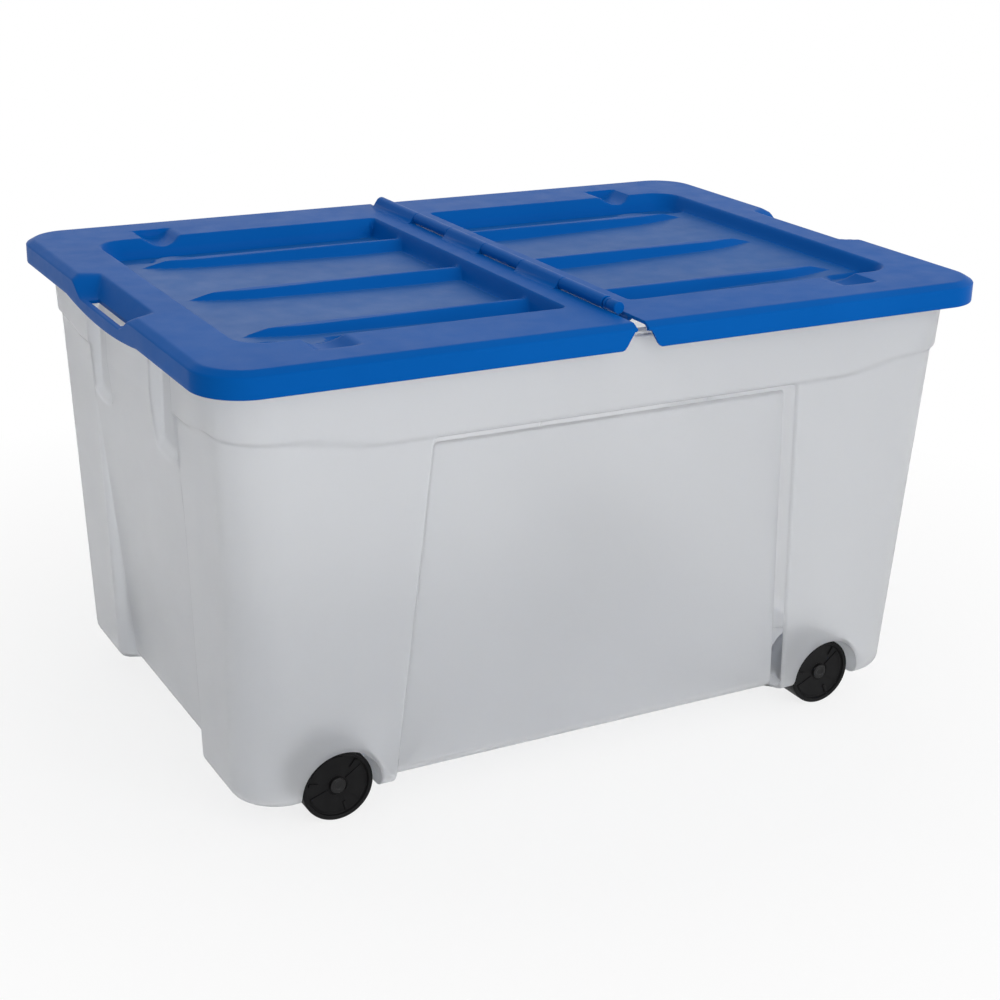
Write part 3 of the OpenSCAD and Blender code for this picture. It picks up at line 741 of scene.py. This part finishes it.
def weld(piece):
    """Merges the doubled points of a piece and points its faces outwards."""
    clean = bmesh.new()
    clean.from_mesh(piece.data)
    bmesh.ops.remove_doubles(clean, verts=clean.verts, dist=1e-6)
    bmesh.ops.recalc_face_normals(clean, faces=clean.faces)
    clean.to_mesh(piece.data)
    clean.free()


def make_outward(piece):
    clean = bmesh.new()
    clean.from_mesh(piece.data)
    bmesh.ops.recalc_face_normals(clean, faces=clean.faces)
    clean.to_mesh(piece.data)
    clean.free()


def make_axle(end, side_name):
    """Axle stub with a flat round head, its edges eased."""
    side, way = SIDES[side_name], 1 if end == "rear" else -1
    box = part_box(f"axle_{end}_{side_name}")
    reach = sorted(abs(v) / MM for v in (box[0][1], box[1][1]))
    seat = WHEEL_FACE - DISH + HEAD_SEAT
    line = [(0, reach[0]), (AXLE_R, reach[0]), (AXLE_R, seat), (AXLE_HEAD_R, seat), (AXLE_HEAD_R, reach[1]),
            (4.2, reach[1]), (3.4, reach[1] - HEAD_DISH), (0, reach[1] - HEAD_DISH)]
    profile = filleted(line, [0.6, 0.2, 0.3, 0.7, 0.3, 0.3])
    verts, faces = lathe(profile, (side * WHEEL_X, WHEEL_Z), way, 48)
    axle = new_piece(f"axle_{end}_{side_name}_turned", verts, faces, AXLE_PLASTIC, 40)
    make_outward(axle)
    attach(axle, "tub")
    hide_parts(f"axle_{end}_{side_name}")


# ---------------------------------------------------------------- tub

TUB_SOFTEN = [(0.0, 0.0)] + [(r * math.cos(t), r * math.sin(t)) for r in (1.3, 2.4)
                             for t in np.linspace(0, 2 * math.pi, 8, False)]
EVEN_Y, LAST_Y = 132, 190   # past the first, the columns of points stretch to reach the corner


def wall_share(z):
    return (z - BASE_Z) / (PANEL_HIGH_Z - BASE_Z)


def band_edge(u):
    """Lower edge of the band, rising towards the corners; u is 0 at a corner and 1 far from it."""
    t = np.clip(u, 0, 1)
    return BAND_MID_Z + BAND_RISE - BAND_FALL * t * t * (3 - 2 * t)


def end_panel_x(z):
    return ramp(z, (BASE_Z, BASE_A - END_PANEL_DEPTH), (PANEL_HIGH_Z, RIM_A - BAND_DRAFT),
                (GRIP_LOW, RIM_A - BAND_DRAFT), (GRIP_LOW + 8, RIM_A - GRIP_SETBACK))


def side_panel_half(z):
    return SIDE_PANEL_BASE + (SIDE_PANEL_TOP - SIDE_PANEL_BASE) * wall_share(z)


def tub_inset(part, s, z, grow):
    """How far the surface lies inside the plain tapered wall, before fillets.
    part: 0 the end (s is y), 1 the corner (s is 0..1), 2 the long side (s is how far past the panel)."""
    a = BASE_A + (WALL_A - BASE_A) * wall_share(z)
    if part == 0:
        s = np.abs(s)
        far = np.clip((BAND_FLAT - s) / BAND_RUN, 0, 1)
        band = BAND_STEP * ramp(z - band_edge(far * 0.6), (-BAND_EASE, 0), (BAND_EASE, 1))
        panel = a - end_panel_x(z)
        share = ramp(s, (END_PANEL_HALF + grow - 2, 1), (END_PANEL_HALF + grow + 2, 0))
        middle, half = (POST_POCKET[1] + POST_POCKET[0]) / 2, (POST_POCKET[1] - POST_POCKET[0]) / 2
        lip = POST_POCKET_LOW - grow + LIP_RISE * ((s - middle) / half) ** 2
        pocket = ramp(s, (POST_POCKET[0] - grow - 1.5, 0), (POST_POCKET[0] - grow + 1.5, 1)) * \
            ramp(s, (POST_POCKET[1] + grow - 1.5, 1), (POST_POCKET[1] + grow + 1.5, 0)) * \
            np.clip((z - lip) / 9, 0, 1)
        back = a - (RIM_A - 2 - POST_POCKET_DEPTH)
        return share * (panel + pocket * np.maximum(back - panel, 0)) - (1 - share) * band
    if part == 1:
        return -BAND_STEP * ramp(z - band_edge(0 * s), (-BAND_EASE, 0), (BAND_EASE, 1))
    reach = np.clip(s[1] / 90.0, 0, 1)
    band = BAND_STEP * ramp(z - band_edge(reach), (-BAND_EASE, 0), (BAND_EASE, 1))
    share = ramp(s[0], (-2 - grow, 1), (2 - grow, 0))
    top = ramp(z - (band_edge(1.0) - 1.5), (-4 - grow, 1), (-grow, 0))
    return share * top * SIDE_PANEL_DEPTH - band


def tub_quarter(z, grow, fillet):
    """Points of a quarter of the outline at each height; rows are heights. Returns X and Y."""
    z = z[:, None]
    share = wall_share(z)
    a, b = BASE_A + (WALL_A - BASE_A) * share, BASE_B + (WALL_B - BASE_B) * share
    r = TUB_CORNER
    shrink = grow + fillet[:, None]

    def eased(part, s, zz, pair=None):
        total = 0
        for ds, dz in TUB_SOFTEN:
            arg = (s + ds) if pair is None else (s + ds, pair)
            total = total + tub_inset(part, arg, np.minimum(zz + dz, RIM_Z + 5), grow)
        return total / len(TUB_SOFTEN)

    y = spread((0, 60, 10), (61, 71, 1.25), (72, 112, 5), (113, 129, 1.15), (EVEN_Y, LAST_Y, 8))[None, :]
    y = y * np.ones_like(z)
    stretch = np.clip((y - EVEN_Y) / (LAST_Y - EVEN_Y), 0, 1)
    y = y + stretch * (b - r - LAST_Y)
    end_inset = eased(0, y, z) + shrink
    ex, ey = a - end_inset, y

    t = np.linspace(0, math.pi / 2, 19)[None, 1:-1] * np.ones_like(z)
    inset = eased(1, t, z) + shrink
    cx, cy = (a - r) + (r - inset) * np.cos(t), (b - r) + (r - inset) * np.sin(t)

    w = side_panel_half(z)
    d = spread((-9, -6, 1.5), (-5.2, 5.2, 0.8), (6, 9, 1.5), (12, 24, 6))[None, :]
    far = np.linspace(0, 1, 9)[None, 1:]
    edge_part = w + d
    post_part = edge_part[:, -1:] + (a - r - edge_part[:, -1:]) * far
    flat_part = np.linspace(0, 1, 9)[None, :-1] * edge_part[:, :1]
    x = np.concatenate([flat_part, edge_part, post_part], axis=1)[:, ::-1]
    side_inset = eased(2, x - w, z, (a - r) - x + 0 * z) + shrink
    sx, sy = x, b - side_inset
    return np.concatenate([ex, cx, sx], axis=1), np.concatenate([ey, cy, sy], axis=1)


def tub_rings(z, grow, fillet):
    """Whole outline at each height, as an array [height, point, 3]."""
    qx, qy = tub_quarter(z, grow, fillet)
    qx2, qy2 = qx[:, ::-1], qy[:, ::-1]
    X = np.concatenate([qx, -qx2[:, 1:], -qx[:, 1:], qx2[:, 1:-1]], axis=1)
    Y = np.concatenate([qy, qy2[:, 1:], -qy[:, 1:], -qy2[:, 1:-1]], axis=1)
    return np.stack([X, Y, z[:, None] * np.ones_like(X)], -1)


def solid_of_rings(rings):
    """Closed solid through rings of points, with a flat fan at each end."""
    m, n = rings.shape[:2]
    verts = rings.reshape(-1, 3)
    i, j = np.meshgrid(np.arange(m - 1), np.arange(n), indexing="ij")
    i, j = i.ravel(), j.ravel()
    k = (j + 1) % n
    quads = np.stack([i * n + j, i * n + k, (i + 1) * n + k, (i + 1) * n + j], -1).tolist()
    middles = np.array([[0, 0, rings[0, 0, 2]], [0, 0, rings[-1, 0, 2]]])
    low, high = m * n, m * n + 1
    fans = [[(p + 1) % n, p, low] for p in range(n)]
    fans += [[(m - 1) * n + p, (m - 1) * n + (p + 1) % n, high] for p in range(n)]
    return np.concatenate([verts, middles]), quads + fans


def tub_levels(low, high):
    """Heights of the rings, close together at the base fillet, the pocket lips, the band and the rim."""
    return spread((low + 13, POST_POCKET_LOW - 8, 22), (POST_POCKET_LOW - 6, POST_POCKET_LOW + 14, 1.6),
                  (POST_POCKET_LOW + 18, BAND_MID_Z - 8, 7), (BAND_MID_Z - 6, BAND_MID_Z + 16, 1.1),
                  (BAND_MID_Z + 20, GRIP_LOW - 2, 8), (GRIP_LOW, high - 1.2, 2.4))


def base_fillet(low, r, steps=7):
    """Heights and insets of the rounded edge round the base."""
    t = np.linspace(0, math.pi / 2, steps)
    return low + r * (1 - np.cos(t)), r * (1 - np.sin(t))


def tub_outside():
    z0, f0 = base_fillet(BASE_Z, TUB_FILLET)
    body = tub_levels(BASE_Z, RIM_Z)
    z = np.concatenate([z0, body, [RIM_Z - 0.9, RIM_Z - 0.35, RIM_Z]])
    f = np.concatenate([f0, np.zeros(len(body)), [0.05, 0.35, 1.0]])
    return solid_of_rings(tub_rings(z, 0.0, f))


def tub_inside():
    t = TUB_WALL
    z0, f0 = base_fillet(BASE_Z + t, TUB_FILLET - 1)
    body = tub_levels(BASE_Z + t, RIM_Z - BEAD_H - 2)
    bead = BEAD_W - t
    rim_z = [RIM_Z - BEAD_H, RIM_Z - BEAD_H + 1, RIM_Z - 1, RIM_Z - 0.3, RIM_Z, RIM_Z + 4]
    z = np.concatenate([z0, body, rim_z])
    f = np.concatenate([f0, np.zeros(len(body)), [1.5, bead, bead, bead - 0.3, bead - 1, bead - 1]])
    return solid_of_rings(tub_rings(z, t, f))


def bar(r, y0, y1, x, z, steps=72, ease=0.0):
    """Closed round bar along Y between two signed positions."""
    way = 1 if y1 > y0 else -1
    if ease:
        profile = [(0, y0), (r - ease, y0), (r - 0.3 * ease, y0 + way * 0.3 * ease),
                   (r, y0 + way * ease), (r, y1), (0, y1)]
    else:
        profile = [(0, y0), (r, y0), (r, y1), (0, y1)]
    return lathe(profile, (x, z), 1, steps)


def tool(name, mesh):
    """Temporary closed solid for cutting and joining, faces outwards."""
    piece = new_piece(name, mesh[0], mesh[1], TUB_PLASTIC)
    weld(piece)
    return piece


def arch_solid(x, way, grow):
    """Wheel arch: round over the axle and open down to the floor, reaching out through the wall."""
    r, near, far = ARCH_R + grow, WELL_END - grow, RIM_B + 5
    t = np.linspace(0, math.pi, 37)
    outline = [(r, -WHEEL_Z - 5)] + [(r * math.cos(a), r * math.sin(a)) for a in t] + [(-r, -WHEEL_Z - 5)]
    n = len(outline)
    ease = 3.0
    rings = []
    for y, pull in ((near, ease), (near + 0.25 * ease, 0.34 * ease), (near + ease, 0), (far, 0)):
        rings += [(x + px * (r - pull) / r, way * y, WHEEL_Z + (pz * (r - pull) / r if pz > 0 else pz))
                  for px, pz in outline]
    faces = [[k * n + i, k * n + (i + 1) % n, (k + 1) * n + (i + 1) % n, (k + 1) * n + i]
             for k in range(3) for i in range(n)]
    faces += [list(range(n)), list(range(3 * n, 4 * n))]
    return rings, faces


def make_tub():
    """Tub: the outside less its hollow, with wheel arches, bosses and spacers."""
    shell = tool("tub_body", tub_outside())
    hollow = tool("tub_hollow", tub_inside())
    for end, side_name in CORNERS:
        x, way = SIDES[side_name] * WHEEL_X, 1 if end == "rear" else -1
        boolean(hollow, tool("arch_wall", arch_solid(x, way, TUB_WALL)), "DIFFERENCE")
        boss = bar(HUB_R, way * (WELL_END - BOSS_LEN), way * (WELL_END + BOSS_PAST), x, WHEEL_Z, ease=1.0)
        boolean(hollow, tool("boss", boss), "DIFFERENCE")
    boolean(shell, hollow, "DIFFERENCE")
    for end, side_name in CORNERS:
        x, way = SIDES[side_name] * WHEEL_X, 1 if end == "rear" else -1
        boolean(shell, tool("arch", arch_solid(x, way, 0)), "DIFFERENCE")
        spacer = bar(SPACER_R, way * (WELL_END - SPACER_IN), way * (WELL_END + BOSS_PAST), x, WHEEL_Z)
        boolean(shell, tool("spacer", spacer), "UNION")
        bore = bar(AXLE_R, way * (WELL_END - BORE_LEN), way * RIM_B, x, WHEEL_Z, 48)
        boolean(shell, tool("bore", bore), "DIFFERENCE")
    tub = finish_with(shell, "tub_moulded", TUB_PLASTIC, 32)
    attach(tub, "tub")
    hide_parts("tub")
    return tub


# ---------------------------------------------------------------- stage

def stage_material(name, colour, camera_white):
    """Pale matte surface that keeps the shadow; far from the box it turns into plain white for the camera."""
    material = bpy.data.materials.new(name)
    material.use_nodes = True
    nodes, links = material.node_tree.nodes, material.node_tree.links
    shader = nodes["Principled BSDF"]
    shader.inputs["Base Color"].default_value = (*colour, 1)
    shader.inputs["Roughness"].default_value = 0.9
    shader.inputs["Specular IOR Level"].default_value = 0.1
    if camera_white:
        seen, white = nodes.new("ShaderNodeLightPath"), nodes.new("ShaderNodeEmission")
        mix = nodes.new("ShaderNodeMixShader")
        coords, length = nodes.new("ShaderNodeTexCoord"), nodes.new("ShaderNodeVectorMath")
        span, any_ray, more, both = (nodes.new("ShaderNodeMapRange"), nodes.new("ShaderNodeMath"),
                                     nodes.new("ShaderNodeMath"), nodes.new("ShaderNodeMath"))
        length.operation = "LENGTH"
        any_ray.operation = more.operation = "MAXIMUM"
        both.operation = "MULTIPLY"
        span.inputs["From Min"].default_value, span.inputs["From Max"].default_value = 0.45, 1.0
        span.inputs["To Min"].default_value = 0.8
        links.new(coords.outputs["Object"], length.inputs[0])
        links.new(length.outputs["Value"], span.inputs["Value"])
        links.new(seen.outputs["Is Camera Ray"], any_ray.inputs[0])
        links.new(seen.outputs["Is Glossy Ray"], any_ray.inputs[1])
        links.new(any_ray.outputs[0], more.inputs[0])
        links.new(seen.outputs["Is Transmission Ray"], more.inputs[1])
        links.new(more.outputs[0], both.inputs[0])
        links.new(span.outputs["Result"], both.inputs[1])
        links.new(both.outputs[0], mix.inputs["Fac"])
        links.new(shader.outputs["BSDF"], mix.inputs[1])
        links.new(white.outputs["Emission"], mix.inputs[2])
        links.new(mix.outputs["Shader"], nodes["Material Output"].inputs["Surface"])
    return material


def make_stage():
    """Pale floor, white surroundings and soft lamps."""
    mesh = bpy.data.meshes.new("floor")
    mesh.from_pydata([(-12, -12, 0), (12, -12, 0), (12, 12, 0), (-12, 12, 0)], [], [(0, 1, 2, 3)])
    mesh.materials.append(stage_material("floor_pale", (0.86, 0.86, 0.86), True))
    floor = bpy.data.objects.new("floor", mesh)
    bpy.context.scene.collection.objects.link(floor)

    world = bpy.data.worlds.new("studio")
    bpy.context.scene.world = world
    world.use_nodes = True
    nodes, links = world.node_tree.nodes, world.node_tree.links
    soft = nodes["Background"]
    soft.inputs["Color"].default_value, soft.inputs["Strength"].default_value = (1, 1, 1, 1), 0.62
    plain, mix = nodes.new("ShaderNodeBackground"), nodes.new("ShaderNodeMixShader")
    seen = nodes.new("ShaderNodeLightPath")
    plain.inputs["Color"].default_value, plain.inputs["Strength"].default_value = (1, 1, 1, 1), 1.0
    add, more = nodes.new("ShaderNodeMath"), nodes.new("ShaderNodeMath")
    add.operation = more.operation = "MAXIMUM"
    links.new(seen.outputs["Is Camera Ray"], add.inputs[0])
    links.new(seen.outputs["Is Glossy Ray"], add.inputs[1])
    links.new(add.outputs[0], more.inputs[0])
    links.new(seen.outputs["Is Transmission Ray"], more.inputs[1])
    links.new(more.outputs[0], mix.inputs["Fac"])
    links.new(soft.outputs["Background"], mix.inputs[1])
    links.new(plain.outputs["Background"], mix.inputs[2])
    links.new(mix.outputs["Shader"], nodes["World Output"].inputs["Surface"])

    for name, place, aim, size, power in (
            ("key_lamp", (0.7, -3.2, 1.7), (0, 0, 0.25), 2.2, 54),
            ("fill_lamp", (3.0, -0.6, 1.5), (0, 0, 0.25), 2.2, 10),
            ("back_lamp", (0.4, 2.6, 2.4), (0, 0, 0.3), 2.4, 10)):
        data = bpy.data.lights.new(name, "AREA")
        data.shape, data.size, data.energy = "SQUARE", size, power
        lamp = bpy.data.objects.new(name, data)
        lamp.location = place
        lamp.rotation_euler = (Vector(aim) - Vector(place)).to_track_quat("-Z", "Y").to_euler()
        bpy.context.scene.collection.objects.link(lamp)


CAMERA_TURN, CAMERA_PLACE = (28.8246, -20.5269, 1.3208), (-0.86625, -1.60385, 0.87135)   # degrees, metres
SENSOR, FOCAL = 36.0, 1.86846   # millimetres, and the lens as a share of the sensor


def make_camera():
    """Camera slightly above the box, turned to its front left corner."""
    yaw, pitch, roll = (math.radians(v) for v in CAMERA_TURN)
    ahead = Vector((math.sin(yaw) * math.cos(pitch), math.cos(yaw) * math.cos(pitch), math.sin(pitch)))
    right = Vector((math.cos(yaw), -math.sin(yaw), 0))
    up = right.cross(ahead)
    right, up = right * math.cos(roll) + up * math.sin(roll), up * math.cos(roll) - right * math.sin(roll)
    data = bpy.data.cameras.new("camera")
    data.sensor_width, data.lens = SENSOR, SENSOR * FOCAL
    data.clip_end = 60
    camera = bpy.data.objects.new("camera", data)
    turn = Matrix((right, up, -ahead)).transposed().to_4x4()
    camera.matrix_world = Matrix.Translation(CAMERA_PLACE) @ turn
    bpy.context.scene.collection.objects.link(camera)
    bpy.context.scene.camera = camera
    bpy.context.scene.view_settings.view_transform = "Standard"


make_camera()
make_stage()
knuckle_row = knuckle_row_tree()
make_lid_half("lid_left_cover", -1, 0, knuckle_row)
make_lid_half("lid_right_cover", 1, 1, knuckle_row)
make_hinge_rod()
hub_marks = wheel_marks_tree()
for end, side_name in CORNERS:
    make_wheel(end, side_name, hub_marks)
    make_axle(end, side_name)
make_tub()
